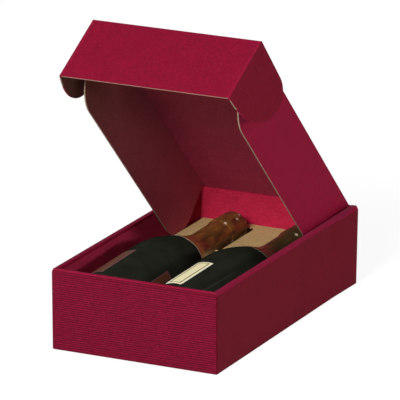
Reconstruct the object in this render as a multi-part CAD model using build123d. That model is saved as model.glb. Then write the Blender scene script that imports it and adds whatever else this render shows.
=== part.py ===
from build123d import *
import os
from math import atan, cos, degrees, pi, radians, sin, sqrt

# Two-bottle wine gift box, open, with its two sealed bottles and their neck support.
# Millimetres. x runs across the box, y to the rear, z up. The origin is the middle of the tray's
# underside. The lid, its front panel and the two ears are drawn with the lid shut and level and the
# panel square, and are then turned about their fold lines to the pose that the box stands in.

# Board and tray
BOARD = 1.5
WIDTH = 199.0
DEPTH = 350.0
HEIGHT = 91.0
RIM = 6.4
CORNER_FOLD = 2.2
REAR_FOLD = 1.8
SWELL_START = 105.0
SWELL_LOW = 1.8
SWELL_HIGH = 3.8
SWELL_RISE = 0.9
BASE_FOLD = 1.3
SHOULDER_DROP = 3.2
SHOULDER_IN = 1.3
CREASE_WIDTH = 0.6
CREASE_DEPTH = 0.25
SEAM = 0.2
TAB_LENGTH = 44.0
SIDE_TABS = (-86.0, 86.0)
FRONT_TABS = (-48.0, 48.0)

# Lid
HINGE_Z = 89.0
HINGE_GAP = 0.35
LID_TOP = HINGE_Z + 1.8
LID_OPEN = 45.86
LID_LENGTH = 350.1
LID_HALF_REAR = 91.2
LID_HALF = 92.35
SHOULDER_HALF = 98.6
SHOULDER_HALF_REAR = 96.6
SHOULDER_LENGTH = 76.0
SHOULDER_STEP = 15.0
FLAP_HEIGHT = 85.5
FLAP_LEAN = 0.0
FLAP_START = 4.5
FLAP_REACH = 343.2
FLAP_CORNER = 36.0
FLAP_REAR_CORNER = 44.0
SWING = 343.3
FREE_EDGE = 5.6

# Front panel and ears
PANEL_FOLD = 350.25
PANEL_INNER = 350.4
PANEL_HALF = 99.6
PANEL_HEIGHT = 90.0
PANEL_SPLAY = 15.6
EAR_INNER = 99.9
EAR_TOP = 0.6
EAR_DROP = 89.7
EAR_BACK = 73.5
EAR_WIDEST = 27.0
EAR_CORNER = 21.5
EAR_FOLD = 99.75
EAR_SPLAY = {"left": 7.0, "right": 11.0}

# Bottles: length along the axis and radius of each stretch
BOTTLE_LENGTH = 325.0
BOTTLE_RADIUS = 41.7
BODY_END = 129.0
FOIL_START = 184.0
FOIL_RADIUS = 31.6
FOIL_SLOPE = -0.31
NECK_START = 240.0
NECK_RADIUS = 17.15
PUNT_DEPTH = 22.0
FOIL_THICK = 0.4
PAPER = 0.3
BOTTLE_FRONT = 9.0 - DEPTH / 2
BOTTLES = {"left": (-48.4, 1.35, 2.2), "right": (37.3, 1.87, 1.95)}
# Each label: start and end along the bottle, and the angles it spans, from the box's right over the top
LABELS = {
    "left": {"front": (24.0, 99.0, 97.0, 158.0), "back": (30.0, 97.0, -28.0, 35.0)},
    "right": {"front": (22.0, 94.5, 83.5, 110.0), "back": (30.0, 113.0, -20.0, 41.5)},
}

# Neck support
SUPPORT_HALF = 89.2
SUPPORT_FRONT = 248.0 - DEPTH / 2
SUPPORT_REAR = 347.5 - DEPTH / 2
SUPPORT_TOP = 52.6
SUPPORT_SLOTS = (-43.0, 43.0)
SLOT_WIDTH = 50.0
SLOT_END = 335.0 - DEPTH / 2


def box(x0, x1, y0, y1, z0, z1):
    """A plain block between two corners."""
    return Pos((x0 + x1) / 2, (y0 + y1) / 2, (z0 + z1) / 2) * Box(x1 - x0, y1 - y0, z1 - z0)


def tray_plan(grow):
    """The tray's outline from above, grown or shrunk all round, with its rounded corner folds."""
    plan = Rectangle(WIDTH + 2 * grow, DEPTH + 2 * grow)
    front = plan.vertices().group_by(Axis.Y)[0]
    plan = fillet(front, CORNER_FOLD + grow)
    rear = [v for v in plan.vertices() if abs(v.Y - DEPTH / 2 - grow) < 0.01]
    return fillet(rear, REAR_FOLD + grow)


def slab(low, high, z0, z1):
    """A loft between two outlines given as corner lists, at two heights."""
    faces = [
        Pos(0, 0, z) * make_face(Polyline(*corners, close=True).edges())
        for corners, z in ((low, z0), (high, z1))
    ]
    return loft(faces, ruled=True)


def rear_swelling():
    """What the tucked rear flap adds at the right side wall's rear end: it bulges and the rim rises."""
    x, y, start = WIDTH / 2, DEPTH / 2 - 0.8, SWELL_START
    wall_top = HEIGHT - SHOULDER_DROP
    low, high = x + SWELL_LOW, x + SWELL_HIGH
    wall = slab([(x - 1, start), (x - 1, y), (low, y), (x - 0.01, start)],
                [(x - 1, start), (x - 1, y), (high, y), (x - 0.01, start)], BASE_FOLD - 0.4, wall_top)
    rim = slab([(x - 4.5, start), (x - 4.5, y), (high, y), (x - 0.01, start)],
               [(x - 4.5, start + 30), (x - 4.5, y - 0.6), (high - SHOULDER_IN - 0.4, y - 0.6),
                (x - SHOULDER_IN - 0.2, start + 30)], wall_top, HEIGHT + SWELL_RISE)
    swelling = wall + rim
    corner = [e for e in swelling.edges() if e.center().X > x and e.center().Y > y - 0.5 and e.length > 3]
    return fillet([e for e in corner if abs(e.tangent_at(0.5).Z) > 0.5], 1.2)


def make_tray():
    """The open tray: one folded sheet with rolled double walls at the sides and the front."""
    x, y = WIDTH / 2, DEPTH / 2
    wall_top = HEIGHT - SHOULDER_DROP
    plan = tray_plan(0.0)
    taper = degrees(atan(SHOULDER_IN / SHOULDER_DROP))
    tray = extrude(plan, wall_top)
    tray = fillet(tray.faces().sort_by(Axis.Z)[0].edges(), BASE_FOLD)
    tray += Pos(0, 0, wall_top) * extrude(plan, SHOULDER_DROP, taper=taper)
    # the well, and the rear wall's lower top edge between the side rims
    tray -= box(-x + RIM, x - RIM, -y + RIM, y - BOARD, BOARD, HEIGHT + 1)
    tray -= box(-x + RIM, x - RIM, y - 2 * BOARD, y + 1, HINGE_Z, HEIGHT + 1)
    inner_top = [
        e for e in tray.edges().filter_by(lambda e: e.length > 150)
        if abs(e.center().Z - HEIGHT) < 0.01
        and (abs(abs(e.center().X) - (x - RIM)) < 0.01 or abs(e.center().Y + y - RIM) < 0.01)
    ]
    tray = fillet(inner_top, 1.1)
    # the crease where the outer layer turns in to the rim
    ring = tray_plan(2.0) - tray_plan(-CREASE_DEPTH)
    crease = Pos(0, 0, wall_top - CREASE_WIDTH / 2) * extrude(ring, CREASE_WIDTH)
    tray -= crease - box(-x + 1, x - 1, y - 4, y + 4, 0, HEIGHT)
    swelling = rear_swelling()
    tray += swelling + mirror(swelling, Plane.YZ)
    # hollow between the two layers of each rolled wall
    roof = HEIGHT - BOARD
    for side in (-1, 1):
        outer, inner = side * (x - BOARD), side * (x - RIM + BOARD)
        tray -= box(min(outer, inner), max(outer, inner), -y + BOARD, y - BOARD, BOARD, roof)
    tray -= box(-x + RIM, x - RIM, -y + BOARD, -y + RIM - BOARD, BOARD, roof)
    # slits: under each inner layer, beside the front inner layer, and where the rims meet
    for side in (-1, 1):
        face, back = side * (x - RIM), side * (x - RIM + BOARD)
        lo, hi = min(face, back), max(face, back)
        tray -= box(lo - 0.05, hi + 0.05, -y + RIM, y - BOARD, BOARD, BOARD + 0.25)
        slit = (face - side * SEAM, face)
        tray -= box(min(slit), max(slit), -y + RIM - BOARD - 0.1, -y + RIM + 0.1, BOARD, roof)
        rim = (face - side * 0.2, side * (x - 1.4))
        tray -= box(min(rim), max(rim), -y + RIM, -y + RIM + SEAM, roof - 0.1, HEIGHT + 1)
    tray -= box(-x + RIM, x - RIM, -y + RIM - BOARD - 0.05, -y + RIM + 0.05, BOARD, BOARD + 0.25)
    # tabs of the inner layers, locked down through slots in the floor
    gap = 0.15
    for side in (-1, 1):
        face, back = side * (x - RIM), side * (x - RIM + BOARD)
        lo, hi = min(face, back), max(face, back)
        for mid in SIDE_TABS:
            half = TAB_LENGTH / 2
            tray -= box(lo - gap, hi + gap, mid - half - gap, mid + half + gap, -1, BOARD + 0.1)
            tray += box(lo, hi, mid - half, mid + half, 0.1, BOARD + 0.4)
    for mid in FRONT_TABS:
        half, lo, hi = TAB_LENGTH / 2, -y + RIM - BOARD, -y + RIM
        tray -= box(mid - half - gap, mid + half + gap, lo - gap, hi + gap, -1, BOARD + 0.1)
        tray += box(mid - half, mid + half, lo, hi, 0.1, BOARD + 0.4)
    return tray


def hinge_point(s, h):
    """A point of the shut lid, s forward of the hinge line and h below it, as (y, z)."""
    return DEPTH / 2 - s, HINGE_Z - h


def turn(shape, line, angle):
    """Turns a shape about a fold line that runs across the box; positive opens."""
    y, z = line
    return shape.rotate(Axis((0, y, z), (-1, 0, 0)), angle)


def open_lid(shape):
    return turn(shape, hinge_point(0, 0), LID_OPEN)


def open_panel(shape):
    """Splays a piece that rides on the front panel, and then opens it with the lid."""
    return open_lid(turn(shape, hinge_point(PANEL_FOLD, HINGE_Z - LID_TOP), PANEL_SPLAY))


def flap_outline():
    """The right side flap's cut outline, along the lid and down from its top face."""
    drop = LID_TOP - HINGE_Z
    bottom, r = FLAP_HEIGHT + drop, FLAP_CORNER
    # the front corner's centre, set so that the edge swings clear of the tray's front rim
    centre_h = FLAP_HEIGHT - r
    centre_s = sqrt((SWING - r) ** 2 - centre_h ** 2)
    reach = atan(centre_h / centre_s)
    tangent = (centre_s + r * cos(reach), centre_h + r * sin(reach) + drop)
    mid_turn = (reach + pi / 2) / 2
    front_mid = (centre_s + r * cos(mid_turn), centre_h + r * sin(mid_turn) + drop)
    rear = FLAP_START
    start_free = LID_LENGTH - SHOULDER_LENGTH
    under = BOARD - 0.25
    back, slack = FLAP_REAR_CORNER, 1 - sin(pi / 4)
    lines = [
        Line((rear, under), (start_free - SHOULDER_STEP, under)),
        Line((start_free - SHOULDER_STEP, under), (start_free - SHOULDER_STEP, FREE_EDGE + drop - 3)),
        ThreePointArc(
            (start_free - SHOULDER_STEP, FREE_EDGE + drop - 3),
            (start_free - SHOULDER_STEP + 0.88, FREE_EDGE + drop - 0.88),
            (start_free - SHOULDER_STEP + 3, FREE_EDGE + drop),
        ),
        Line((start_free - SHOULDER_STEP + 3, FREE_EDGE + drop), (FLAP_REACH - 3, FREE_EDGE + drop)),
        ThreePointArc(
            (FLAP_REACH - 3, FREE_EDGE + drop),
            (FLAP_REACH - 0.95, FREE_EDGE + drop + 0.88),
            (FLAP_REACH - 0.2, FREE_EDGE + drop + 3),
        ),
        Line((FLAP_REACH - 0.2, FREE_EDGE + drop + 3), tangent),
        ThreePointArc(tangent, front_mid, (centre_s, bottom)),
        Line((centre_s, bottom), (rear + back, bottom)),
        ThreePointArc((rear + back, bottom), (rear + back * slack, bottom - back * slack), (rear, bottom - back)),
        Line((rear, bottom - back), (rear, under)),
    ]
    return lines


def make_lid():
    """The lid board with its two side flaps, one folded sheet."""
    bend = LID_LENGTH - SHOULDER_LENGTH
    step = bend - SHOULDER_STEP
    half = [
        Line((0, HINGE_GAP), (LID_HALF_REAR, HINGE_GAP)),
        Line((LID_HALF_REAR, HINGE_GAP), (LID_HALF, step)),
        Spline([(LID_HALF, step), ((LID_HALF + SHOULDER_HALF_REAR) / 2, step + 7.0), (SHOULDER_HALF_REAR, bend)],
               tangents=[(0.05, 1), (0.02, 1)]),
        Line((SHOULDER_HALF_REAR, bend), (SHOULDER_HALF, LID_LENGTH)),
        Line((SHOULDER_HALF, LID_LENGTH), (0, LID_LENGTH)),
        Line((0, LID_LENGTH), (0, HINGE_GAP)),
    ]
    outline = make_face(Wire(half).edges())
    y, _ = hinge_point(0, 0)
    top = Plane(origin=(0, y, LID_TOP), x_dir=(1, 0, 0), z_dir=(0, 0, -1))
    right = top * extrude(outline, BOARD)
    fold = [
        e for e in right.edges().filter_by(lambda e: e.length > 200)
        if abs(e.center().Z - LID_TOP) < 0.02 and e.center().X > 85
    ]
    right = fillet(fold, 1.2)
    # the flap's plane follows the lid's tapering edge and leans in towards its lower edge
    run = (LID_HALF - LID_HALF_REAR) / (step - HINGE_GAP)
    lean = radians(FLAP_LEAN)
    along = Vector(run, -1, 0).normalized()
    down = Vector(-sin(lean), 0, -cos(lean))
    out = along.cross(down)
    if out.X < 0:
        out = out * -1
    flap_plane = Plane(origin=(LID_HALF_REAR - 0.03, y, LID_TOP), x_dir=along, z_dir=out)
    flap = flap_plane * extrude(make_face(Wire(flap_outline()).edges()), -BOARD)
    right += flap
    return open_lid(right + mirror(right, Plane.YZ))


def make_front_panel():
    """The closing panel on the lid's front edge."""
    y, _ = hinge_point(PANEL_INNER, 0)
    panel = box(-PANEL_HALF, PANEL_HALF, y - BOARD, y, LID_TOP - PANEL_HEIGHT, LID_TOP)
    top_front = [
        e for e in panel.edges().filter_by(Axis.X)
        if e.center().Z > LID_TOP - 1 and e.center().Y < y - 1
    ]
    panel = fillet(top_front, 1.2)
    lower = [e for e in panel.edges().filter_by(Axis.Y) if e.center().Z < LID_TOP - 10]
    panel = fillet(lower, 1.5)
    return open_panel(panel)


def make_ear(side):
    """A rounded ear at one end of the front panel, folded back beside the lid but not quite square."""
    y_front = hinge_point(PANEL_INNER, 0)[0] - BOARD
    back, top, r = EAR_BACK, EAR_TOP, EAR_CORNER
    drop = EAR_DROP - EAR_WIDEST
    slant = 1 - sin(pi / 4)
    lines = [
        Line((0, top), (0, EAR_DROP)),
        EllipticalCenterArc((0, EAR_WIDEST), back, drop, 0, arc_size=90),
        Line((back, EAR_WIDEST), (back, top + r)),
        ThreePointArc((back, top + r), (back - r * slant, top + r * slant), (back - r, top)),
        Line((back - r, top), (0, top)),
    ]
    # local x runs back from the panel's face, local y runs down from the lid's top
    plane = Plane(origin=(EAR_INNER, y_front, LID_TOP), x_dir=(0, 1, 0), z_dir=(-1, 0, 0))
    ear = plane * extrude(make_face(Wire(lines).edges()), -BOARD)
    edge = [
        e for e in ear.edges().filter_by(Axis.Z)
        if abs(e.center().Y - y_front) < 0.01 and e.center().X > EAR_INNER + 1
    ]
    ear = fillet(edge, 1.0)
    ear = ear.rotate(Axis((EAR_FOLD, y_front, 0), (0, 0, -1)), EAR_SPLAY[side])
    if side == "left":
        ear = mirror(ear, Plane.YZ)
    return open_panel(ear)


def bottle_plane(side):
    """Where a bottle lies: origin at the middle of its base, local z along it, local x to the right."""
    x, yaw, pitch = BOTTLES[side]
    yaw, pitch = radians(yaw), radians(pitch)
    axis = (sin(yaw) * cos(pitch), cos(yaw) * cos(pitch), sin(pitch))
    # the heel of the sloping bottle touches the floor
    z = BOARD + BOTTLE_RADIUS * cos(pitch) - 4.0 * sin(pitch) + 0.02
    return Plane(origin=(x, BOTTLE_FRONT, z), x_dir=(cos(yaw), -sin(yaw), 0), z_dir=axis)


def glass_curves(inset):
    """The bottle's outline from its heel to its head; the part under the foil is inset."""
    length, r = BOTTLE_LENGTH, BOTTLE_RADIUS
    under = FOIL_RADIUS
    heel = [
        ThreePointArc((r - 9.0, 0), (r - 2.4, 2.6), (r, 9.0)),
        Line((r, 9.0), (r, BODY_END)),
        Spline([(r, BODY_END), (38.8, 156.5), (under, FOIL_START)], tangents=[(0, 1), (FOIL_SLOPE, 1)]),
    ]
    return heel, foil_curves(inset)


def foil_curves(inset):
    """The foil's outline from its lower edge up the neck and over the head."""
    length = BOTTLE_LENGTH
    neck = NECK_RADIUS - inset
    curves = [
        Spline([(FOIL_RADIUS - inset, FOIL_START), (22.6 - inset, 209.0), (neck, NECK_START)],
               tangents=[(FOIL_SLOPE, 1), (0, 1)]),
        Line((neck, NECK_START), (neck - 0.3, length - 40)),
        Spline([(neck - 0.3, length - 40), (15.7 - inset, length - 31), (16.3 - inset, length - 24),
                (16.1 - inset, length - 10), (13.2 - inset, length - 3.5), (8.2 - inset, length - inset)],
               tangents=[(0, 1), (-1, 0.12)]),
        Line((8.2 - inset, length - inset), (0, length - inset)),
    ]
    return curves


def revolved(lines):
    """Revolves a closed outline in the (radius, length) plane about the bottle's axis."""
    profile = make_face(Wire(lines).edges())
    return revolve(Plane.XZ * profile, Axis.Z)


def make_bottle(side):
    """A sealed sparkling-wine bottle: glass, wine and stopper as one solid."""
    inset = FOIL_THICK
    heel, neck = glass_curves(inset)
    r = BOTTLE_RADIUS - 9.0
    lines = heel + [Line((FOIL_RADIUS, FOIL_START), (FOIL_RADIUS - inset, FOIL_START))] + neck
    lines += [
        Line((0, BOTTLE_LENGTH - inset), (0, PUNT_DEPTH)),
        ThreePointArc((0, PUNT_DEPTH), (r * 0.62, PUNT_DEPTH * 0.6), (r - 3.0, 0)),
        Line((r - 3.0, 0), (r, 0)),
    ]
    return bottle_plane(side) * revolved(lines)


def make_foil(side):
    """The foil capsule over a bottle's shoulder, neck and head."""
    inset = FOIL_THICK
    lines = foil_curves(0.0) + foil_curves(inset)
    lines += [
        Line((FOIL_RADIUS, FOIL_START), (FOIL_RADIUS - inset, FOIL_START)),
        Line((0, BOTTLE_LENGTH), (0, BOTTLE_LENGTH - inset)),
    ]
    return bottle_plane(side) * revolved(lines)


def make_label(side, which):
    """A paper label wrapped on a bottle's straight side."""
    start, end, low, high = LABELS[side][which]
    r = BOTTLE_RADIUS
    strip = Pos(r + 0.02 + PAPER / 2, (start + end) / 2) * Rectangle(PAPER, end - start)
    label = revolve(Plane.XZ * strip, Axis.Z, revolution_arc=high - low)
    # the local y axis points down, so an angle towards the top is a negative turn
    return bottle_plane(side) * (Rot(0, 0, -high) * label)


def make_neck_support():
    """The kraft board bridge that holds up the two bottle necks."""
    x, top, t = SUPPORT_HALF, SUPPORT_TOP, BOARD
    front, rear = SUPPORT_FRONT, SUPPORT_REAR
    support = box(-x, x, front, rear, BOARD, top)
    folds = [e for e in support.edges().filter_by(Axis.X) if e.center().Z > top - 1]
    support = fillet(folds, 1.0)
    support -= box(-x - 1, x + 1, front + t, rear - t, 0, top - t)
    for side, mid in zip(BOTTLES, SUPPORT_SLOTS):
        slot = box(mid - SLOT_WIDTH / 2, mid + SLOT_WIDTH / 2, front - 1, SLOT_END, top - t - 0.01, top + 1)
        rear_corners = [e for e in slot.edges().filter_by(Axis.Z) if e.center().Y > SLOT_END - 1]
        support -= fillet(rear_corners, 6.0)
        # the notch in the front leg follows the underside of the neck that lies in it
        x0, yaw, pitch = BOTTLES[side]
        along = front - BOTTLE_FRONT
        neck_x = x0 + along * sin(radians(yaw))
        neck_z = bottle_plane(side).origin.Z + along * sin(radians(pitch))
        r = NECK_RADIUS + 0.45
        notch = Pos(neck_x, front, neck_z) * Rot(90, 0, 0) * Cylinder(r, 6)
        support -= notch + box(neck_x - r, neck_x + r, front - 1, front + 3, neck_z, top + 1)
    return support


def main():
    os.makedirs("parts", exist_ok=True)
    pieces = {
        "tray": make_tray(),
        "neck_support": make_neck_support(),
        "lid": make_lid(),
        "front_panel": make_front_panel(),
        "ear_left": make_ear("left"),
        "ear_right": make_ear("right"),
    }
    for side in BOTTLES:
        pieces["bottle_" + side] = make_bottle(side)
        pieces["foil_" + side] = make_foil(side)
        for which in LABELS[side]:
            pieces[which + "_label_" + side] = make_label(side, which)
    for name, shape in pieces.items():
        export_step(shape, "parts/" + name + ".step")


main()
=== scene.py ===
"""Looks of a two-bottle wine gift box of ribbed burgundy board, with its bottles, foils and neck support."""

import logging
import math
from dataclasses import dataclass, field
from enum import Enum

import bmesh
import bpy
from mathutils import Euler, Matrix, Vector, noise
from mathutils.geometry import interpolate_bezier


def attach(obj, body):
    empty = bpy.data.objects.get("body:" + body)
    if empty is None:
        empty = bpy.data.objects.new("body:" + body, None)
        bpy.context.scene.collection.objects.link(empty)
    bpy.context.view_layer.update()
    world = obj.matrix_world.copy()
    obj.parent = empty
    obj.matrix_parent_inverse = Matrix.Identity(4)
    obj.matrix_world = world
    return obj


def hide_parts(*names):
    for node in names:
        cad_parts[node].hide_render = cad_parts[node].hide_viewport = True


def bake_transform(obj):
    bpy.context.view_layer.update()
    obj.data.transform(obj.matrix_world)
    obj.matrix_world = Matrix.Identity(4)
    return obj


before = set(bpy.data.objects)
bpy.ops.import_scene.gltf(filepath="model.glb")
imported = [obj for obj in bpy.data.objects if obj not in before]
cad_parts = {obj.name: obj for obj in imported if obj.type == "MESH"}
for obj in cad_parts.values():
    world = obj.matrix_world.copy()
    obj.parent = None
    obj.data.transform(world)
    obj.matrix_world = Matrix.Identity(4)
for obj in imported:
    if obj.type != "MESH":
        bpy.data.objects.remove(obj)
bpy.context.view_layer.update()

logging.basicConfig(level=logging.INFO, format="%(message)s")
LOG = logging.getLogger("wine_gift_box")

MM = 0.001
X, Y, Z = 0, 1, 2

# A distance in metres that lies beyond the box on every side
FAR = 1.0

# How a region's faces look along an axis, as ranges of the normal's part along it
ALONG, AGAINST, EDGEWISE, EITHER_WAY = (0.5, 1.1), (-1.1, -0.5), (-0.5, 0.5), (-1.1, 1.1)

# Most values of a noise lie between the first two numbers, and nearly all between the other two
NOISE_BULK, NOISE_RANGE = (0.3, 0.7), (0.25, 0.75)

Tree = bpy.types.NodeTree
Socket = bpy.types.NodeSocket
Pair = tuple[float, float]
Triple = tuple[float, float, float]

# The folds that the box stands at, as the part's source has them
LID_OPEN = math.radians(45.86)
PANEL_SPLAY = math.radians(15.6)
HINGE_LINE = Vector((0.0, 0.175, 0.0890))
PANEL_LINE = Vector((0.0, -0.17525, 0.0908))


def linear(hex_colour: str) -> tuple[float, float, float, float]:
    """Turns an sRGB hex colour into linear RGBA.

    Args:
        hex_colour: Six hex digits, such as "8C1533".

    Returns:
        The linear red, green, blue and an alpha of one.
    """
    channels = []
    for start in (0, 2, 4):
        value = int(hex_colour[start:start + 2], 16) / 255
        channels.append(value / 12.92 if value <= 0.04045 else ((value + 0.055) / 1.055) ** 2.4)
    return channels[0], channels[1], channels[2], 1.0


def add_node(tree: Tree, kind: str, inputs: dict | None = None, **settings) -> bpy.types.Node:
    """Adds one node, with its settings, its input values and its links.

    Args:
        tree: The material's or world's node tree.
        kind: The node's type without the leading "ShaderNode".
        inputs: Input name or index to a value, or to an output socket that is linked in.
        **settings: The node's own properties.

    Returns:
        The new node.
    """
    node = tree.nodes.new("ShaderNode" + kind)
    for name, value in settings.items():
        setattr(node, name, value)
    for key, value in (inputs or {}).items():
        if isinstance(value, bpy.types.NodeSocket):
            tree.links.new(value, node.inputs[key])
        else:
            node.inputs[key].default_value = value
    return node


def calculate(tree: Tree, operation: str, *values: Socket | float) -> Socket:
    """The result of one Math node that takes the values in order."""
    return add_node(tree, "Math", dict(enumerate(values)), operation=operation).outputs[0]


def combine(tree: Tree, operation: str, values: list[Socket]) -> Socket | None:
    """Chains Math nodes over any number of values.

    Args:
        tree: The node tree.
        operation: The operation that joins two values.
        values: The values' sockets.

    Returns:
        The result's socket, or None without a value.
    """
    total = None
    for value in values:
        total = value if total is None else calculate(tree, operation, total, value)
    return total


def ramp(tree: Tree, value: Socket, ends: Pair, results: Pair = (0.0, 1.0)) -> Socket:
    """Takes a value from between two ends to between two results, and holds it there.

    Args:
        tree: The node tree.
        value: The value's socket.
        ends: The values at which the ramp starts and ends.
        results: What it gives at its start and its end.

    Returns:
        The result's socket.
    """
    inputs = {0: value, 1: ends[0], 2: ends[1], 3: results[0], 4: results[1]}
    return add_node(tree, "MapRange", inputs).outputs[0]


def sway(tree: Tree, value: Socket, ends: Pair, share: float) -> Socket:
    """A factor that runs from a share below 1 to a share above it between the value's ends."""
    return ramp(tree, value, ends, (1.0 - share, 1.0 + share))


def choose(tree: Tree, share: Socket, first: Socket | float, second: Socket | float) -> Socket:
    """The first number at a share of 0 and the second at 1."""
    return add_node(tree, "Mix", {0: share, 2: first, 3: second}, data_type="FLOAT").outputs[0]


def mix_colours(tree: Tree, share: Socket, first: Socket | tuple, second: Socket | tuple) -> Socket:
    """The first colour at a share of 0 and the second at 1."""
    return add_node(tree, "Mix", {0: share, 6: first, 7: second}, data_type="RGBA").outputs[2]


def scaled(tree: Tree, colour: Socket | tuple, factor: Socket) -> Socket:
    """The colour made lighter or darker by a factor."""
    return add_node(tree, "VectorMath", {0: colour, "Scale": factor}, operation="SCALE").outputs[0]


def mapped(tree: Tree, vector: Socket, kind: str = "POINT", **inputs) -> Socket:
    """The vector after a Mapping node of a kind; a small scale draws a pattern out along that axis."""
    return add_node(tree, "Mapping", {"Vector": vector, **inputs}, vector_type=kind).outputs[0]


def pattern(tree: Tree, place: Socket, size_mm: float, detail: float, **inputs: float) -> Socket:
    """Cloudy noise from 0 to 1.

    Args:
        tree: The material's node tree.
        place: The place that it is read at, in metres.
        size_mm: The size of its largest clouds.
        detail: How many finer layers it has.
        **inputs: The node's other inputs.

    Returns:
        The noise's socket.
    """
    inputs.update({"Vector": place, "Scale": 1 / (size_mm * MM), "Detail": detail})
    return add_node(tree, "TexNoise", inputs).outputs[0]


def relief(tree: Tree, height: Socket, depth_mm: float, strength: float, **inputs: Socket) -> Socket:
    """Gives a surface relief without changing its form.

    Args:
        tree: The material's node tree.
        height: The relief's height from 0 to 1.
        depth_mm: What a height of 1 stands for.
        strength: How much of it shows, from 0 to 1.
        **inputs: Normal, where it lies over another relief.

    Returns:
        The normal's socket.
    """
    inputs.update({"Height": height, "Distance": depth_mm * MM, "Strength": strength})
    return add_node(tree, "Bump", inputs).outputs[0]


def blank_material(name: str) -> tuple[bpy.types.Material, Tree]:
    """Makes an empty node material.

    Args:
        name: The material's name.

    Returns:
        The material and its cleared node tree.
    """
    material = bpy.data.materials.new(name)
    material.use_nodes = True
    material.node_tree.nodes.clear()
    return material, material.node_tree


def surfaced(material: bpy.types.Material, inputs: dict) -> bpy.types.Material:
    """Ends a material with its surface.

    Args:
        material: The material.
        inputs: The Principled shader's inputs.

    Returns:
        The same material.
    """
    shader = add_node(material.node_tree, "BsdfPrincipled", inputs)
    add_node(material.node_tree, "OutputMaterial", {"Surface": shader.outputs[0]})
    return material


def new_object(name: str) -> tuple[bpy.types.Object, bpy.types.Mesh]:
    """Makes an empty mesh object in the scene.

    Args:
        name: The object's and the mesh's name.

    Returns:
        The object and its mesh.
    """
    mesh = bpy.data.meshes.new(name)
    obj = bpy.data.objects.new(name, mesh)
    bpy.context.scene.collection.objects.link(obj)
    return obj, mesh


def dress(obj: bpy.types.Object, material: bpy.types.Material) -> None:
    """Gives an object one material in all its slots.

    Args:
        obj: The object.
        material: The material.
    """
    if not obj.material_slots:
        obj.data.materials.append(material)
    for slot in obj.material_slots:
        slot.material = material


def fold_matrix(line: Vector, angle: float) -> Matrix:
    """The matrix that turns points about a fold line that runs across the box."""
    return Matrix.Translation(line) @ Matrix.Rotation(angle, 4, "X") @ Matrix.Translation(-line)


def bell(distance: float, width: float) -> float:
    """A smooth hump, 1 at no distance and nearly 0 past two widths."""
    return math.exp(-(distance / width) ** 2)


def angle_gap(angle: float, centre: float) -> float:
    """How far an angle is from a centre, the short way round, in radians."""
    return (angle - centre + math.pi) % (2 * math.pi) - math.pi


class Fold(Enum):
    """Which folds a board piece has been through, from the shut box to where it stands."""

    SHUT = "shut"
    LID = "lid"
    PANEL = "panel"

    def matrix(self) -> Matrix:
        """The matrix from the posed frame to the shut box's frame."""
        if self is Fold.SHUT:
            return Matrix.Identity(4)
        lid = fold_matrix(HINGE_LINE, LID_OPEN)
        if self is Fold.LID:
            return lid
        return fold_matrix(PANEL_LINE, PANEL_SPLAY) @ lid


class Ribs(Enum):
    """What a piece's ribs follow one another along, in the shut box."""

    BY_DEPTH = "y"
    BY_HEIGHT = "z"
    BY_WALL = "y on level faces and side walls, z on the front and rear walls"


@dataclass(frozen=True)
class ShutFrame:
    """A point's place and facing in the shut box's frame, in metres.

    The box is the same left and right, so spot and normal count x outwards from the middle plane. Place
    is the plain position, across is its x, and steep is how squarely a face has to look along an axis.
    """

    tree: Tree
    place: Socket
    across: Socket
    spot: tuple[Socket, Socket, Socket]
    normal: tuple[Socket, Socket, Socket]
    steep: float = 0.7

    @classmethod
    def build(cls, tree: Tree, fold: Fold) -> "ShutFrame":
        """Builds the nodes.

        Args:
            tree: The material's node tree.
            fold: Which folds the piece has been through.

        Returns:
            The frame.
        """
        back = fold.matrix()
        turn = back.to_euler()
        coords = add_node(tree, "TexCoord")
        place = mapped(tree, coords.outputs["Object"], Rotation=turn, Location=back.to_translation())
        facing = mapped(tree, coords.outputs["Normal"], "VECTOR", Rotation=turn)
        x, y, z = add_node(tree, "SeparateXYZ", {0: place}).outputs
        normal_x, normal_y, normal_z = add_node(tree, "SeparateXYZ", {0: facing}).outputs
        outward = calculate(tree, "MULTIPLY", normal_x, calculate(tree, "SIGN", x))
        return cls(tree, place, x, (calculate(tree, "ABSOLUTE", x), y, z), (outward, normal_y, normal_z))

    def faces(self, axis: int) -> Socket:
        """One on faces that look squarely along or against an axis, 0 on the others."""
        size = calculate(self.tree, "ABSOLUTE", self.normal[axis])
        return calculate(self.tree, "GREATER_THAN", size, self.steep)


@dataclass(frozen=True)
class Region:
    """Part of a board piece, told by how its faces look along one axis and by its limits in metres."""

    axis: int
    facing: Pair
    limits: dict[int, Pair] = field(default_factory=dict)

    def mask(self, shut: ShutFrame) -> Socket:
        """Builds a 0 or 1 mask of the region.

        Args:
            shut: The piece's place in the shut box.

        Returns:
            The mask's socket.
        """
        tests = [(shut.normal[self.axis], self.facing)]
        tests += [(shut.spot[axis], limit) for axis, limit in self.limits.items()]
        inside = [calculate(shut.tree, "COMPARE", value, (low + high) / 2, (high - low) / 2)
                  for value, (low, high) in tests]
        return combine(shut.tree, "MULTIPLY", inside)


def union(regions: tuple[Region, ...], shut: ShutFrame) -> Socket | None:
    """The mask of several regions together, or None without a region."""
    return combine(shut.tree, "MAXIMUM", [region.mask(shut) for region in regions])


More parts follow.
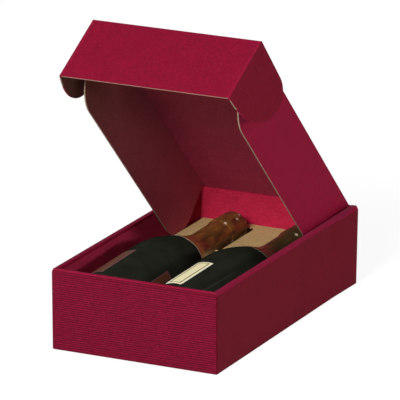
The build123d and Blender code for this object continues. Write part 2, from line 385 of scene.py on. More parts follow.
@dataclass(frozen=True)
class PaintedShade:
    """Painted light or shade in one region, as factors of red, green and blue.

    With far factors given, the shade runs from the first to the far ones along the y axis.
    """

    region: Region
    factors: Triple
    far_factors: Triple | None = None
    run: Pair = (-0.15, 0.12)

    def over(self, colour: Socket, shut: ShutFrame) -> Socket:
        """Lays the shade over a colour.

        Args:
            colour: The colour so far.
            shut: The piece's place in the shut box.

        Returns:
            The new colour's socket.
        """
        change = tuple(part - 1.0 for part in self.factors)
        if self.far_factors is not None:
            far = tuple(part - 1.0 for part in self.far_factors)
            share = ramp(shut.tree, shut.spot[Y], self.run)
            change = add_node(shut.tree, "Mix", {0: share, 4: change, 5: far}, data_type="VECTOR").outputs[1]
        shade = add_node(shut.tree, "VectorMath", {0: self.region.mask(shut), 1: change, 2: (1.0, 1.0, 1.0)},
                         operation="MULTIPLY_ADD").outputs[0]
        return add_node(shut.tree, "VectorMath", {0: colour, 1: shade}, operation="MULTIPLY").outputs[0]


@dataclass(frozen=True)
class BoardPlan:
    """How one board piece is dressed.

    Depth is how much of the ribs' relief and of the painted shade in their valleys shows, from 0 to 1.
    Inner regions show the smooth liner, cut ones the core, and painted shades lay painted light and shade.
    """

    fold: Fold
    ribs: Ribs
    depth: float
    inner: tuple[Region, ...] = ()
    cut: tuple[Region, ...] = ()
    painted_shades: tuple[PaintedShade, ...] = ()


@dataclass(frozen=True)
class RibbedBoard:
    """Single-face micro-corrugated board, dyed burgundy on both sides.

    A share is how far a pattern takes the colour below and above plain.
    """

    crest: str = "8F0F32"
    valley: str = "670E23"
    liner: str = "8C152B"
    core: str = "9B8772"
    core_dark: str = "655149"
    pitch_mm: float = 2.5
    rib_mm: float = 0.2
    wander_mm: float = 60.0
    streak_mm: float = 1.3
    streak_scale: float = 0.06
    streak_share: float = 0.12
    # flecks are drawn at 2 mm, coarser than the paper's fibres, so that they still show from a step away
    fleck_mm: float = 2.0
    fleck_share: float = 0.23
    fleck_relief_mm: float = 0.05
    cloud_mm: float = 22.0
    cloud_share: float = 0.04
    roughness: float = 0.75
    gloss: float = 0.06

    def phase(self, shut: ShutFrame, ribs: Ribs) -> Socket:
        """The place that the ribs are counted along.

        Args:
            shut: The piece's place in the shut box.
            ribs: What the ribs follow one another along.

        Returns:
            The place's socket, in metres.
        """
        if ribs is Ribs.BY_DEPTH:
            return shut.spot[Y]
        if ribs is Ribs.BY_HEIGHT:
            return shut.spot[Z]
        return choose(shut.tree, shut.faces(Y), shut.spot[Y], shut.spot[Z])

    def rib_height(self, shut: ShutFrame, phase: Socket, depth: float) -> Socket:
        """A rounded wave of the flutes' pitch, which wanders a little as real flutes do.

        Args:
            shut: The piece's place in the shut box.
            phase: The place that the ribs are counted along.
            depth: How much of the relief is left.

        Returns:
            The height's socket, about 0.5.
        """
        wander = pattern(shut.tree, shut.place, self.wander_mm, detail=1.0)
        turns = 2 * math.pi / (self.pitch_mm * MM)
        wave = calculate(shut.tree, "SINE", calculate(shut.tree, "MULTIPLY_ADD", phase, turns, wander))
        return ramp(shut.tree, wave, (-1.0, 1.0), (0.5 - depth / 2, 0.5 + depth / 2))

    def unevenness(self, shut: ShutFrame, phase: Socket, grain: Socket, depth: float) -> Socket:
        """How the dye varies: flecks, faint clouds, and long streaks drawn out along the ribs.

        Args:
            shut: The piece's place in the shut box.
            phase: The place that the ribs are counted along.
            grain: The flecks' noise.
            depth: How much of the ribs' relief is left, which the streaks go with.

        Returns:
            The factor's socket, about 1.
        """
        tree = shut.tree
        run = choose(tree, shut.faces(X), shut.across, shut.spot[Z])
        slow = calculate(tree, "MULTIPLY", run, self.streak_scale)
        drawn = add_node(tree, "CombineXYZ", {X: phase, Y: slow}).outputs[0]
        streak = pattern(tree, drawn, self.streak_mm, detail=2.0)
        cloud = pattern(tree, shut.place, self.cloud_mm, detail=2.0)
        return combine(tree, "MULTIPLY", [
            sway(tree, grain, NOISE_RANGE, self.fleck_share),
            sway(tree, cloud, NOISE_BULK, self.cloud_share),
            sway(tree, streak, NOISE_RANGE, self.streak_share * depth),
        ])

    def material(self, name: str, plan: BoardPlan) -> bpy.types.Material:
        """Makes the material of one board piece.

        Args:
            name: The material's name.
            plan: How the piece is dressed.

        Returns:
            The material.
        """
        # Dyed board is dull and deep in colour: fine ribs with soft shading outside, a smooth liner inside,
        # and along a cut edge a thin pale line, the undyed grey-beige core with the flutes' mouths
        material, tree = blank_material(name)
        shut = ShutFrame.build(tree, plan.fold)
        inner, cut = union(plan.inner, shut), union(plan.cut, shut)
        phase = self.phase(shut, plan.ribs)
        rib = self.rib_height(shut, phase, plan.depth)
        grain = pattern(tree, shut.place, self.fleck_mm, detail=2.0, Roughness=0.6)
        # the valleys' darker colour is painted shade in the ribs' hollows, and depth scales it with the
        # relief
        colour = mix_colours(tree, rib, linear(self.valley), linear(self.crest))
        height = rib
        if inner is not None:
            colour = mix_colours(tree, inner, colour, linear(self.liner))
            height = calculate(tree, "MULTIPLY", rib, calculate(tree, "SUBTRACT", 1.0, inner))
        colour = scaled(tree, colour, self.unevenness(shut, phase, grain, plan.depth))
        for painted_shade in plan.painted_shades:
            colour = painted_shade.over(colour, shut)
        if cut is not None:
            core = mix_colours(tree, rib, linear(self.core_dark), linear(self.core))
            colour = mix_colours(tree, cut, colour, core)
        ribs = relief(tree, height, self.rib_mm, strength=0.8)
        flecks = relief(tree, grain, self.fleck_relief_mm, strength=0.5, Normal=ribs)
        return surfaced(material, {"Base Color": colour, "Roughness": self.roughness, "IOR": 1.45,
                                   "Specular IOR Level": self.gloss, "Normal": flecks})


@dataclass(frozen=True)
class KraftBoard:
    """Unbleached kraft liner board with its fibres along the sheet."""

    face: str = "C7AF7D"
    fibre: str = "AE9461"
    core_dark: str = "654C30"
    pitch_mm: float = 2.5
    fibre_mm: float = 1.1
    fibre_scale: float = 0.18
    fibre_relief_mm: float = 0.06
    cloud_mm: float = 25.0
    cloud_share: float = 0.05
    roughness: float = 0.75
    gloss: float = 0.08

    def material(self, name: str, cut: tuple[Region, ...]) -> bpy.types.Material:
        """Makes the kraft material.

        Args:
            name: The material's name.
            cut: Regions that are cut edges.

        Returns:
            The material.
        """
        # Bare kraft is a plain light brown, dull, with long darker fibres that lie one way, and its cut
        # edges show the dark mouths of the flutes
        material, tree = blank_material(name)
        shut = ShutFrame.build(tree, Fold.SHUT)
        drawn = mapped(tree, shut.place, Scale=(self.fibre_scale, 1.0, 1.0))
        fibre = pattern(tree, drawn, self.fibre_mm, detail=4.0, Roughness=0.65)
        cloud = pattern(tree, shut.place, self.cloud_mm, detail=2.0)
        base = mix_colours(tree, ramp(tree, fibre, (0.35, 0.7)), linear(self.fibre), linear(self.face))
        sheet = scaled(tree, base, sway(tree, cloud, NOISE_BULK, self.cloud_share))
        turns = 2 * math.pi / (self.pitch_mm * MM)
        wave = calculate(tree, "SINE", calculate(tree, "MULTIPLY", shut.spot[Y], turns))
        core = mix_colours(tree, ramp(tree, wave, (-0.4, 0.4)), linear(self.core_dark), linear(self.face))
        colour = mix_colours(tree, union(cut, shut), sheet, core)
        fibres = relief(tree, fibre, self.fibre_relief_mm, strength=0.6)
        return surfaced(material, {"Base Color": colour, "Roughness": self.roughness,
                                   "Specular IOR Level": self.gloss, "Normal": fibres})


@dataclass(frozen=True)
class FilledGlass:
    """Dark green bottle glass with wine behind it."""

    colour: str = "22241D"
    ripple_mm: float = 18.0
    ripple_share: float = 0.15
    ripple_relief_mm: float = 0.3
    roughness: float = 0.25
    coat: float = 0.01
    coat_roughness: float = 0.16

    def material(self, name: str) -> bpy.types.Material:
        """Makes the glass material.

        Args:
            name: The material's name.

        Returns:
            The material.
        """
        # Green glass full of wine lets no light through: it looks solid and near black, with a faint
        # soft gloss on its slow ripples
        material, tree = blank_material(name)
        place = add_node(tree, "TexCoord").outputs["Object"]
        ripple = pattern(tree, place, self.ripple_mm, detail=1.0)
        colour = scaled(tree, linear(self.colour)[:3], sway(tree, ripple, NOISE_BULK, self.ripple_share))
        ripples = relief(tree, ripple, self.ripple_relief_mm, strength=0.3)
        return surfaced(material, {"Base Color": colour, "Roughness": self.roughness, "IOR": 1.52,
                                   "Specular IOR Level": 0.0, "Coat Weight": self.coat, "Coat IOR": 1.5,
                                   "Coat Roughness": self.coat_roughness, "Normal": ripples})


@dataclass(frozen=True)
class BottlePlace:
    """How one bottle lies: its base's x in mm, and its yaw and pitch in degrees.

    The others are its base's y and its radius, the board's thickness under it, how far from its base it
    touches the board, and its gap to it, all in mm.
    """

    x: float
    yaw: float
    pitch: float
    base_y: float = -166.0
    radius: float = 41.7
    board: float = 1.5
    touch: float = 4.0
    gap: float = 0.02

    def matrix(self) -> Matrix:
        """The matrix from the bottle's own frame, z along it and x to the right, to the box's frame."""
        yaw, pitch = math.radians(self.yaw), math.radians(self.pitch)
        axis = Vector((math.sin(yaw) * math.cos(pitch), math.cos(yaw) * math.cos(pitch), math.sin(pitch)))
        across = Vector((math.cos(yaw), -math.sin(yaw), 0.0))
        third = axis.cross(across)
        z = self.board + self.radius * math.cos(pitch) - self.touch * math.sin(pitch) + self.gap
        turn = Matrix((across, third, axis)).transposed().to_4x4()
        return Matrix.Translation(Vector((self.x, self.base_y, z)) * MM) @ turn

    def own_place(self, tree: Tree) -> Socket:
        """A point's place in the bottle's own frame.

        Args:
            tree: The material's node tree.

        Returns:
            The place's socket, in metres.
        """
        back = self.matrix().inverted()
        spot = add_node(tree, "TexCoord").outputs["Object"]
        return mapped(tree, spot, Rotation=back.to_euler(), Location=back.to_translation())


@dataclass(frozen=True)
class CapsuleFoil:
    """Aluminium capsule foil with a copper lacquer, pleated along the neck.

    The skirt is paler than the neck, and its shade fades between two places that are counted from the
    cut edge.
    """

    bright: str = "8E5C28"
    dark: str = "4C3418"
    cut: str = "8C7B70"
    glint_colour: str = "F6E2C4"
    cut_mm: float = 0.6
    pleat_mm: float = 7.0
    pleat_scale: float = 0.3
    pleat_relief_mm: float = 0.3
    grain_mm: float = 1.5
    grain_relief_mm: float = 0.06
    skirt_fade_mm: Pair = (14.0, 50.0)
    skirt_shades: Pair = (1.4, 0.88)
    metallic: float = 0.12
    roughness: float = 0.36
    coat: float = 0.12
    coat_roughness: float = 0.08

    def material(self, name: str, place: BottlePlace, start: float) -> bpy.types.Material:
        """Makes the foil material.

        Args:
            name: The material's name.
            place: How the capsule's bottle lies.
            start: Where the capsule's cut edge is along the bottle, in mm.

        Returns:
            The material.
        """
        # Lacquered foil is a satin brown with painted shade in its pleats' hollows, a thin pale line where it
        # was cut, and painted glints over the wires below
        material, tree = blank_material(name)
        own = place.own_place(tree)
        along = add_node(tree, "SeparateXYZ", {0: own}).outputs[Z]
        drawn = mapped(tree, own, Scale=(1.0, 1.0, self.pleat_scale))
        pleat = pattern(tree, drawn, self.pleat_mm, detail=3.0, Distortion=0.4)
        grain = pattern(tree, own, self.grain_mm, detail=2.0)
        # darker where the pleat noise is low: painted shade in the pleats' hollows
        lacquer = mix_colours(tree, ramp(tree, pleat, (0.35, 0.65)), linear(self.dark), linear(self.bright))
        fade_start, fade_end = self.skirt_fade_mm
        shade = ramp(tree, along, ((start + fade_start) * MM, (start + fade_end) * MM), self.skirt_shades)
        edge = calculate(tree, "LESS_THAN", along, (start + self.cut_mm) * MM)
        trimmed = mix_colours(tree, edge, scaled(tree, lacquer, shade), linear(self.cut))
        painted_glint = add_node(tree, "Attribute", attribute_name="painted_glint")
        # painted glints: pale spots over the wires that stand for highlights
        colour = mix_colours(tree, painted_glint.outputs["Fac"], trimmed, linear(self.glint_colour))
        folds = relief(tree, pleat, self.pleat_relief_mm, strength=0.3)
        grains = relief(tree, grain, self.grain_relief_mm, strength=0.3, Normal=folds)
        return surfaced(material, {"Base Color": colour, "Metallic": self.metallic,
                                   "Roughness": self.roughness, "Normal": grains,
                                   "Coat Weight": self.coat, "Coat Roughness": self.coat_roughness})


@dataclass(frozen=True)
class LabelSpan:
    """What a label covers: its start and end along the bottle in mm, and its angles in degrees."""

    start: float
    end: float
    low: float
    high: float


@dataclass(frozen=True)
class LabelPaper:
    """Coated label paper with a fine printed frame line set in from its edges."""

    paper: str = "FFF8C6"
    line: str = "221E1A"
    rim: str = "FFFCE4"
    inset_mm: float = 3.4
    line_mm: float = 1.2
    rim_mm: float = 0.9
    fibre_mm: float = 1.2
    fibre_share: float = 0.05
    fibre_relief_mm: float = 0.03
    roughness: float = 0.4
    gloss: float = 0.9

    def edge_gap(self, tree: Tree, place: BottlePlace, span: LabelSpan) -> Socket:
        """How far a point is from the label's nearest edge.

        Args:
            tree: The material's node tree.
            place: How the label's bottle lies.
            span: What the label covers.

        Returns:
            The distance's socket, in metres.
        """
        x, y, z = add_node(tree, "SeparateXYZ", {0: place.own_place(tree)}).outputs
        # the bottle's own y points down, so the angle towards the top is the negative one
        angle = calculate(tree, "ARCTAN2", calculate(tree, "MULTIPLY", y, -1.0), x)
        arc = calculate(tree, "MULTIPLY", angle, place.radius * MM)
        low, high = (math.radians(limit) * place.radius for limit in (span.low, span.high))
        gaps = []
        for value, first, last in ((z, span.start, span.end), (arc, low, high)):
            off = calculate(tree, "SUBTRACT", value, (first + last) / 2 * MM)
            away = calculate(tree, "ABSOLUTE", off)
            gaps.append(calculate(tree, "SUBTRACT", (last - first) / 2 * MM, away))
        return combine(tree, "MINIMUM", gaps)

    def material(self, name: str, place: BottlePlace, span: LabelSpan) -> bpy.types.Material:
        """Makes the material of one label.

        Args:
            name: The material's name.
            place: How the label's bottle lies.
            span: What the label covers.

        Returns:
            The material.
        """
        # Coated paper is smooth and catches more light than the board, with a trace of its fibres, a thin
        # frame line, and a narrow rim of another shade where it was cut
        material, tree = blank_material(name)
        gap = self.edge_gap(tree, place, span)
        on_line = calculate(tree, "COMPARE", gap, self.inset_mm * MM, self.line_mm / 2 * MM)
        on_rim = calculate(tree, "LESS_THAN", gap, self.rim_mm * MM)
        fibre = pattern(tree, add_node(tree, "TexCoord").outputs["Object"], self.fibre_mm, detail=3.0)
        printed = mix_colours(tree, on_line, linear(self.paper), linear(self.line))
        colour = mix_colours(tree, on_rim, printed, linear(self.rim))
        shaded = scaled(tree, colour, sway(tree, fibre, NOISE_BULK, self.fibre_share))
        fibres = relief(tree, fibre, self.fibre_relief_mm, strength=0.5)
        return surfaced(material, {"Base Color": shaded, "Roughness": self.roughness,
                                   "Specular IOR Level": self.gloss, "Normal": fibres})


@dataclass
class BoardBox:
    """The tray, lid, front panel and ears: their nodes keep their form and get the ribbed board.

    Places are in metres in the shut box's frame. The painted shades lay painted light and shade on the
    board: painted highlights on the folds, lighter insides, and darker walls and creases.
    """

    finish: RibbedBoard = field(default_factory=RibbedBoard)
    front_face: Pair = (-0.18, -0.174)
    front_rim: float = -0.17
    rear_inner_face: Pair = (0.17, 0.18)
    side_inner_face: Pair = (0.09, 0.0935)
    floor_top: Pair = (0.0, 0.003)
    crease: Pair = (0.0868, 0.0875)
    roll: float = 0.0872
    rim: float = 0.0885
    painted_fold_highlight: Triple = (1.3, 1.9, 1.5)
    crease_half_mm: float = 92.8
    crease_section_mm: tuple[Pair, ...] = (
        (175.02, 88.2), (175.1, 89.1), (175.5, 90.0), (175.74, 90.83), (174.8, 89.92), (174.3, 89.1),
        (174.3, 88.2))

    def tray_plan(self) -> BoardPlan:
        """The tray, ribbed outside and on its rolled walls, smooth on the floor and inside the rear wall."""
        rear_inner = Region(Y, AGAINST, {Y: self.rear_inner_face, Z: (0.001, 0.0895)})
        floor = Region(Z, ALONG, {Z: self.floor_top})
        below_roll, above_roll, above_rim = (-FAR, self.roll), (self.roll, FAR), (self.rim, FAR)
        # Painted light and shade: the front and outer side walls darker, the rolled inner walls, the front
        # rim and the rear wall's inside lighter, the other rims darker, and painted shade in the creases
        # under the rims
        painted_shades = (
            PaintedShade(Region(Y, AGAINST, {Y: self.front_face}), (0.65, 0.77, 0.69)),
            PaintedShade(Region(X, ALONG, {Z: below_roll}), (0.61, 0.47, 0.45)),
            PaintedShade(Region(X, ALONG, {Z: above_roll}), (0.94, 0.5, 1.05)),
            PaintedShade(Region(X, AGAINST, {X: self.side_inner_face, Z: below_roll}), (1.55, 3.9, 2.1)),
            PaintedShade(Region(Z, ALONG, {Y: (-FAR, self.front_rim), Z: above_rim}), (1.1, 1.35, 1.3)),
            PaintedShade(Region(Z, ALONG, {Y: (self.front_rim, FAR), Z: above_rim}), (0.8, 0.75, 1.05)),
            PaintedShade(rear_inner, (1.45, 1.75, 1.75)),
            PaintedShade(Region(Y, AGAINST, {Y: self.front_face, Z: self.crease}), (0.75, 0.75, 0.75)),
            PaintedShade(Region(X, ALONG, {Z: self.crease}), (0.8, 0.8, 0.8)),
        )
        return BoardPlan(Fold.SHUT, Ribs.BY_WALL, 1.0, inner=(rear_inner, floor), painted_shades=painted_shades)

    def lid_plan(self) -> BoardPlan:
        """The lid, smooth under its top and inside its flaps, cut along the flaps' and shoulders' edges."""
        under_top = Region(Z, AGAINST, {Z: (0.088, FAR)})
        flap_inside = Region(X, AGAINST, {Z: (-FAR, 0.0892)})
        flap_edge = Region(X, EDGEWISE, {Z: (-FAR, 0.0882)})
        shoulder_edge = Region(X, ALONG, {X: (0.0953, FAR), Z: (0.0889, FAR)})
        painted_shades = (
            # Painted light and shade: the outer flaps less green, the lid's underside and the flaps' insides
            # lighter and changing shade along the lid, and a painted highlight along the front fold
            PaintedShade(Region(X, ALONG, {Z: (-FAR, 0.0895)}), (1.05, 0.46, 1.0)),
            PaintedShade(under_top, (0.74, 4.4, 1.35), (1.3, 4.5, 2.8)),
            PaintedShade(flap_inside, (0.48, 4.8, 1.15), (1.7, 10.5, 4.8)),
            PaintedShade(Region(Y, EITHER_WAY, {Y: (-FAR, -0.1737), Z: (self.rim, FAR)}), self.painted_fold_highlight),
        )
        return BoardPlan(Fold.LID, Ribs.BY_DEPTH, 0.4, (under_top, flap_inside), (flap_edge, shoulder_edge),
                         painted_shades)

    def panel_plan(self) -> BoardPlan:
        """The front panel, with painted highlights along its folds to the lid and ears, cut along its lower
        edge.
        """
        lower_edge = Region(Z, AGAINST, {Y: (-0.1766, -0.1757), Z: (-FAR, 0.004)})
        # painted highlight along the panel's folds to the lid and the ears
        painted_shades = (PaintedShade(Region(Y, EITHER_WAY, {Z: (0.0896, FAR)}), self.painted_fold_highlight),
                 PaintedShade(Region(Y, EITHER_WAY, {X: (0.0984, FAR)}), self.painted_fold_highlight))
        return BoardPlan(Fold.PANEL, Ribs.BY_HEIGHT, 0.2, (Region(Y, ALONG),), (lower_edge,), painted_shades)

    def ear_plan(self) -> BoardPlan:
        """An ear; its cut edge shows the core only near the panel, and further back the dye with a painted
        highlight.
        """
        inside = Region(X, AGAINST)
        cut_edge = Region(X, EDGEWISE, {Y: (-0.173, -0.158)})
        # Painted light and shade: the outer face darker, the inner face lighter and greener, and a painted
        # highlight along the cut edge
        painted_shades = (PaintedShade(Region(X, ALONG), (0.69, 0.73, 0.6)), PaintedShade(inside, (0.39, 5.4, 1.15)),
                 PaintedShade(Region(X, EDGEWISE), (1.2, 1.4, 1.3)))
        return BoardPlan(Fold.PANEL, Ribs.BY_HEIGHT, 0.35, (inside,), (cut_edge,), painted_shades)

    def dress_all(self) -> None:
        """Gives each board piece its own material, set out from its folds."""
        plans = {"tray": self.tray_plan(), "lid": self.lid_plan(), "front_panel": self.panel_plan(),
                 "ear_left": self.ear_plan(), "ear_right": self.ear_plan()}
        for node, plan in plans.items():
            dress(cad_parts[node], self.finish.material("ribbed_burgundy_board_" + node, plan))
            LOG.info("dressed %s in ribbed board", node)

    def build_hinge_crease(self) -> None:
        """Builds the strip of board that joins the rear wall to the lid."""
        strip, mesh = new_object("hinge_crease")
        half = self.crease_half_mm * MM
        shape = bmesh.new()
        ring = [shape.verts.new((-half, y * MM, z * MM)) for y, z in self.crease_section_mm]
        shape.faces.new(ring)
        side = bmesh.ops.extrude_face_region(shape, geom=shape.faces[:])
        moved = [item for item in side["geom"] if isinstance(item, bmesh.types.BMVert)]
        bmesh.ops.translate(shape, verts=moved, vec=(2 * half, 0.0, 0.0))
        bmesh.ops.recalc_face_normals(shape, faces=shape.faces[:])
        shape.to_mesh(mesh)
        shape.free()
        # painted light on the strip's inner face
        inside = PaintedShade(Region(Y, (-1.1, 0.0)), (1.2, 1.6, 1.6))
        plan = BoardPlan(Fold.SHUT, Ribs.BY_HEIGHT, 0.3, painted_shades=(inside,))
        dress(strip, self.finish.material("ribbed_burgundy_board_crease", plan))
        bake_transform(strip)
        LOG.info("built hinge_crease")


@dataclass
class NeckSupport:
    """The kraft bridge under the necks: its node keeps its form.

    Its outer faces, and how far in from them the legs, the top and the folds reach, are in metres.
    """

    finish: KraftBoard = field(default_factory=KraftBoard)
    front: float = 0.073
    rear: float = 0.1725
    top: float = 0.0526
    leg_depth: float = 0.0016
    top_depth: float = 0.0015
    fold_depth: float = 0.0021

    def dress(self) -> None:
        """Gives the bridge its kraft board, with open flutes on the slots' and the legs' edges."""
        between_legs = (self.front + self.leg_depth, self.rear - self.leg_depth)
        slot_edges = Region(Z, EDGEWISE, {Y: between_legs, Z: (self.top - self.top_depth, FAR)})
        leg_edges = Region(Y, EDGEWISE, {Z: (-FAR, self.top - self.fold_depth)})
        material = self.finish.material("kraft_liner_board", (slot_edges, leg_edges))
        dress(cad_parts["neck_support"], material)
        LOG.info("dressed neck_support in kraft board")


@dataclass
class Bottle:
    """One sealed bottle with its labels and its foil capsule, whose wire cage is turned in radians."""

    side: str
    place: BottlePlace
    glass: FilledGlass
    foil: CapsuleFoil
    paper: LabelPaper
    labels: dict[str, LabelSpan]
    turn: float

    def dress_glass(self) -> None:
        """Gives the glass node its material."""
        dress(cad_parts["bottle_" + self.side], self.glass.material("filled_bottle_glass_" + self.side))
        LOG.info("dressed bottle_%s in dark glass", self.side)

    def dress_labels(self) -> None:
        """Gives both labels their paper."""
        for which, span in self.labels.items():
            node = which + "_label_" + self.side
            dress(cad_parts[node], self.paper.material("label_paper_" + node, self.place, span))
            LOG.info("dressed %s in label paper", node)

    def build_foil(self) -> None:
        """Builds the pleated capsule in place of the plain one."""
        FoilCapsule(self.side, self.place, self.foil, self.turn).build()


@dataclass
class FoilCapsule:
    """Pleated foil over shoulder, neck and head, with the wire cage and its twist showing at the head.

    Lengths are in mm. Stations are places along the bottle and radii, collars are the places, widths and
    heights of the cage's two rings, and glint spots are places along the bottle and angles in degrees.
    """

    side: str
    place: BottlePlace
    foil: CapsuleFoil
    turn: float
    stations: tuple[Pair, ...] = (
        (184.0, 31.75), (190.0, 29.85), (196.0, 27.6), (202.0, 25.1), (209.0, 22.75), (216.0, 20.45),
        (223.0, 18.95), (230.0, 17.85), (238.0, 17.35), (250.0, 17.2), (265.0, 17.1), (279.0, 17.05),
        (283.0, 17.5), (288.0, 18.2), (294.5, 18.2), (300.0, 17.7), (305.0, 17.5), (309.0, 17.6),
        (313.5, 17.3), (317.0, 16.5), (320.0, 15.3), (322.5, 13.6), (324.2, 11.2), (325.0, 7.8), (325.0, 0.0))
    collars: tuple[Triple, ...] = ((283.0, 1.3, 0.7), (317.5, 1.0, 0.6))
    glint_spots: tuple[Pair, ...] = (
        (282.0, 298.0), (281.0, 15.0), (305.0, 309.0), (318.0, 336.0), (316.0, 18.0), (314.0, 301.0),
        (283.0, 200.0), (310.0, 120.0))
    glint_width: float = 1.3
    step_mm: float = 1.2
    steps: int = 144
    thickness: float = 0.3
    head_radius: float = 17.5
    skirt_middle: float = 212.0
    skirt_width: float = 22.0
    # the crinkles' noise is read on a tube of this radius in its own steps, and with one step per length
    noise_radius: float = 3.0
    noise_length: float = 16.0
    crinkle_level: float = 0.1
    crinkle_height: float = 0.15
    pleats: int = 13
    pleat_height: float = 0.16
    pleat_wander: float = 2.2
    wander_scale: float = 0.6
    cage_start: float = 280.0
    cage_fade: float = 6.0
    wires: int = 4
    wire_width: float = 1.1
    wire_height: float = 0.8
    twist_angle: float = 0.45
    twist_middle: float = 288.0
    twist_length: float = 4.0
    twist_width: float = 2.2
    twist_height: float = 0.9
    edge_height: float = 0.5
    edge_fade: float = 3.0
    edge_lobes: tuple[int, int] = (3, 5)
    merge_mm: float = 0.01

    @property
    def start(self) -> float:
        """Where the cut edge is along the bottle, in mm."""
        return self.stations[0][0]

    def profile(self) -> list[tuple[float, float]]:
        """A smooth line through the stations.

        Returns:
            Places along the bottle and radii in mm, from the cut edge to the top.
        """
        points = [Vector((z, r, 0.0)) for z, r in self.stations]
        line = []
        for index in range(len(points) - 1):
            before, here = points[max(index - 1, 0)], points[index]
            there, after = points[index + 1], points[min(index + 2, len(points) - 1)]
            reach = (there - here).length
            out_slope = (there - before).normalized() * reach / 3
            in_slope = (after - here).normalized() * reach / 3
            count = max(2, round(reach / self.step_mm))
            line += interpolate_bezier(here, here + out_slope, there - in_slope, there, count + 1)[:-1]
        line.append(points[-1])
        return [(point.x, max(point.y, 0.0)) for point in line]

    def cage(self, z: float, angle: float) -> float:
        """How far the wire cage lifts the foil.

        Args:
            z: Place along the bottle in mm.
            angle: Angle round the bottle in radians.

        Returns:
            The height in mm.
        """
        if z <= self.cage_start:
            return 0.0
        fade = min(1.0, (z - self.cage_start) / self.cage_fade)
        heights = [height * bell(z - middle, width) for middle, width, height in self.collars]
        for number in range(self.wires):
            away = angle_gap(angle, self.turn + number * 2 * math.pi / self.wires) * self.head_radius
            heights.append(self.wire_height * fade * bell(away, self.wire_width))
        twist = angle_gap(angle, self.turn + self.twist_angle) * self.head_radius
        knot = bell(z - self.twist_middle, self.twist_length) * bell(twist, self.twist_width)
        return max(heights) + self.twist_height * knot

    def relief(self, z: float, angle: float) -> float:
        """How far the foil stands off its smooth form.

        Args:
            z: Place along the bottle in mm.
            angle: Angle round the bottle in radians.

        Returns:
            The height in mm.
        """
        across, up = math.cos(angle) * self.noise_radius, math.sin(angle) * self.noise_radius
        spot = Vector((across, up, z / self.noise_length))
        crinkle = self.crinkle_level + self.crinkle_height * noise.noise(spot)
        wander = self.pleat_wander * noise.noise(spot * self.wander_scale)
        ripple = 1 + math.sin(self.pleats * angle + wander)
        pleat = self.pleat_height * bell(z - self.skirt_middle, self.skirt_width) * ripple
        return max(0.0, crinkle) + pleat + self.cage(z, angle)

    def painted_glint(self, z: float, angle: float) -> float:
        """How strongly the foil is painted with a glint over the wires under it.

        Args:
            z: Place along the bottle in mm.
            angle: Angle round the bottle in radians.

        Returns:
            From 0, no glint, to 1, the full glint colour.
        """
        total = 0.0
        for spot_z, spot_angle in self.glint_spots:
            away = angle_gap(angle, math.radians(spot_angle)) * self.head_radius
            total += bell(z - spot_z, self.glint_width) * bell(away, self.glint_width)
        return min(1.0, total)

    def edge_wave(self, z: float, angle: float) -> float:
        """How far the cut edge wanders along the bottle, in mm; it fades away from the edge."""
        fade = math.exp(-(z - self.start) / self.edge_fade)
        wide, narrow = self.edge_lobes
        return self.edge_height * fade * math.sin(wide * angle + 1.0) * math.cos(narrow * angle)

    def build(self) -> None:
        """Spins the profile, presses the relief into it and puts it on its bottle."""
        capsule, mesh = new_object("pleated_foil_" + self.side)
        shape = bmesh.new()
        ring = [shape.verts.new((r * MM, 0.0, z * MM)) for z, r in self.profile()]
        edges = [shape.edges.new(pair) for pair in zip(ring, ring[1:])]
        bmesh.ops.spin(shape, geom=ring + edges, cent=(0.0, 0.0, 0.0), axis=(0.0, 0.0, 1.0),
                       angle=2 * math.pi, steps=self.steps, use_merge=True)
        bmesh.ops.remove_doubles(shape, verts=shape.verts[:], dist=self.merge_mm * MM)
        bmesh.ops.recalc_face_normals(shape, faces=shape.faces[:])
        shape.normal_update()
        moves = []
        layer = shape.verts.layers.float.new("painted_glint")
        for vert in shape.verts:
            z, angle = vert.co.z / MM, math.atan2(vert.co.y, vert.co.x)
            # painted glint strength at this point
            vert[layer] = self.painted_glint(z, angle)
            wave = Vector((0.0, 0.0, self.edge_wave(z, angle)))
            moves.append((vert, (vert.normal * self.relief(z, angle) + wave) * MM))
        for vert, move in moves:
            vert.co += move
        for face in shape.faces:
            face.smooth = True
        bmesh.ops.transform(shape, matrix=self.place.matrix(), verts=shape.verts[:])
        shape.to_mesh(mesh)
        shape.free()
        wall = capsule.modifiers.new("foil_thickness", "SOLIDIFY")
        wall.thickness = self.thickness * MM
        wall.offset = -1.0
        dress(capsule, self.foil.material("copper_capsule_foil_" + self.side, self.place, self.start))
        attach(capsule, "tray")
        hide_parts("foil_" + self.side)
        LOG.info("built %s", capsule.name)


@dataclass(frozen=True)
class SoftLamp:
    """One soft studio lamp: where it stands, its size in metres, its power in watts and what it looks at."""

    name: str
    place: tuple[float, float, float]
    size: float
    power: float
    target: tuple[float, float, float] = (0.0, 0.0, 0.12)

    def build(self) -> None:
        """Adds the lamp to the scene."""
        data = bpy.data.lights.new(self.name, "AREA")
        data.shape = "DISK"
        data.size = self.size
        data.energy = self.power
        lamp = bpy.data.objects.new(self.name, data)
        bpy.context.scene.collection.objects.link(lamp)
        lamp.location = self.place
        lamp.rotation_mode = "QUATERNION"
        lamp.rotation_quaternion = (Vector(self.target) - Vector(self.place)).to_track_quat("-Z", "Y")


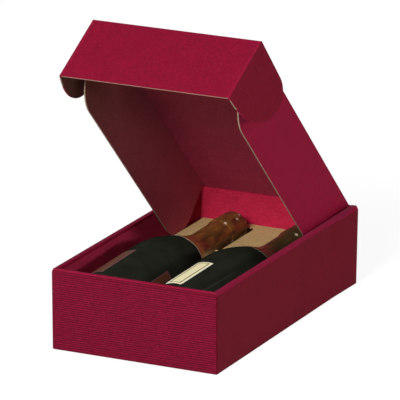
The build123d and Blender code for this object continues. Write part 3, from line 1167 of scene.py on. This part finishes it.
@dataclass
class Studio:
    """Floor, world, lamps and camera."""

    lamps: tuple[SoftLamp, ...] = (
        SoftLamp("front_left_lamp", (-0.32, -2.27, 1.32), 0.7, 20.4),
        SoftLamp("front_lamp", (0.154, -2.20, 1.478), 0.7, 57.6),
        SoftLamp("side_lamp", (2.524, 0.221, 0.72), 0.35, 21.6),
        SoftLamp("rear_lamp", (0.45, 2.50, 1.75), 0.9, 43.0),
        SoftLamp("left_lamp", (-2.55, 0.25, 0.55), 0.7, 16.8),
    )
    ambient: float = 0.072
    floor_size: float = 14.0
    floor_grey: float = 0.8
    shadowed_grey: float = 0.2
    floor_glow: float = 0.84
    camera_place: tuple[float, float, float] = (2.41773, -4.83863, 1.80916)
    camera_aim: tuple[float, float, float] = (0.00470, -0.02435, 0.14064)
    camera_roll: float = -0.2611
    lens_mm: float = 465.77
    sensor_mm: float = 36.0

    def seen_directly(self, tree: Tree) -> Socket:
        """One for rays from the camera, from gloss and through glass; the backdrop is white to them.

        Args:
            tree: The material's or world's node tree.

        Returns:
            The factor's socket.
        """
        path = add_node(tree, "LightPath")
        rays = ("Is Camera Ray", "Is Glossy Ray", "Is Transmission Ray")
        return combine(tree, "MAXIMUM", [path.outputs[name] for name in rays])

    def build_world(self) -> None:
        """A world that gives soft light and shows as plain white."""
        world = bpy.data.worlds.new("plain_white_room")
        bpy.context.scene.world = world
        world.use_nodes = True
        tree = world.node_tree
        tree.nodes.clear()
        strength = choose(tree, self.seen_directly(tree), self.ambient, 1.0)
        background = add_node(tree, "Background", {"Color": (1.0, 1.0, 1.0, 1.0), "Strength": strength})
        add_node(tree, "OutputWorld", {"Surface": background.outputs[0]})

    def build_floor(self) -> None:
        """A white floor that keeps the box's shadow."""
        floor, mesh = new_object("white_floor")
        shape = bmesh.new()
        bmesh.ops.create_grid(shape, x_segments=1, y_segments=1, size=self.floor_size / 2)
        shape.to_mesh(mesh)
        shape.free()
        # Matt white paint gives back soft light from below, and shows to the eye as white with a faint shadow
        material, tree = blank_material("white_floor_paint")
        plain = add_node(tree, "BsdfDiffuse", {"Color": (self.floor_grey,) * 3 + (1.0,)})
        shadowed = add_node(tree, "BsdfDiffuse", {"Color": (self.shadowed_grey,) * 3 + (1.0,)})
        glow = add_node(tree, "Emission", {"Color": (1.0, 1.0, 1.0, 1.0), "Strength": self.floor_glow})
        both = add_node(tree, "AddShader", {0: shadowed.outputs[0], 1: glow.outputs[0]})
        surface = add_node(tree, "MixShader", {0: self.seen_directly(tree), 1: plain.outputs[0],
                                               2: both.outputs[0]})
        add_node(tree, "OutputMaterial", {"Surface": surface.outputs[0]})
        dress(floor, material)

    def build_camera(self) -> None:
        """The camera at the photograph's viewing angle."""
        data = bpy.data.cameras.new("photo_camera")
        data.lens = self.lens_mm
        data.sensor_width = self.sensor_mm
        data.clip_start, data.clip_end = 0.1, 50.0
        camera = bpy.data.objects.new("photo_camera", data)
        bpy.context.scene.collection.objects.link(camera)
        look = Vector(self.camera_aim) - Vector(self.camera_place)
        camera.rotation_mode = "QUATERNION"
        level = look.to_track_quat("-Z", "Y")
        camera.rotation_quaternion = level @ Euler((0.0, 0.0, math.radians(self.camera_roll))).to_quaternion()
        camera.location = self.camera_place
        bpy.context.scene.camera = camera

    def build(self) -> None:
        """Builds the camera first, then the floor, world and lamps."""
        self.build_camera()
        self.build_floor()
        self.build_world()
        for lamp in self.lamps:
            lamp.build()
        bpy.context.scene.view_settings.view_transform = "Standard"
        LOG.info("built the studio")


def main() -> None:
    """Builds the studio and every sub-assembly in order."""
    Studio().build()
    box = BoardBox()
    box.dress_all()
    box.build_hinge_crease()
    NeckSupport().dress()
    # The right bottle's foil is greyer and darker, and the left bottle's labels are bare dark brown
    glass = FilledGlass()
    dark_foil = CapsuleFoil(bright="444220", dark="262814", cut="4A4230")
    brown_paper = LabelPaper(paper="5C3526", line="5C3526", rim="654249", gloss=0.01)
    bottles = (
        Bottle("left", BottlePlace(-48.4, 1.35, 2.2), glass, CapsuleFoil(), brown_paper,
               {"front": LabelSpan(24.0, 99.0, 97.0, 158.0), "back": LabelSpan(30.0, 97.0, -28.0, 35.0)},
               -1.05),
        Bottle("right", BottlePlace(37.3, 1.87, 1.95), glass, dark_foil, LabelPaper(),
               {"front": LabelSpan(22.0, 94.5, 83.5, 110.0), "back": LabelSpan(30.0, 113.0, -20.0, 41.5)},
               -0.9),
    )
    for bottle in bottles:
        bottle.dress_glass()
        bottle.dress_labels()
        bottle.build_foil()


if __name__ == "__main__":
    main()
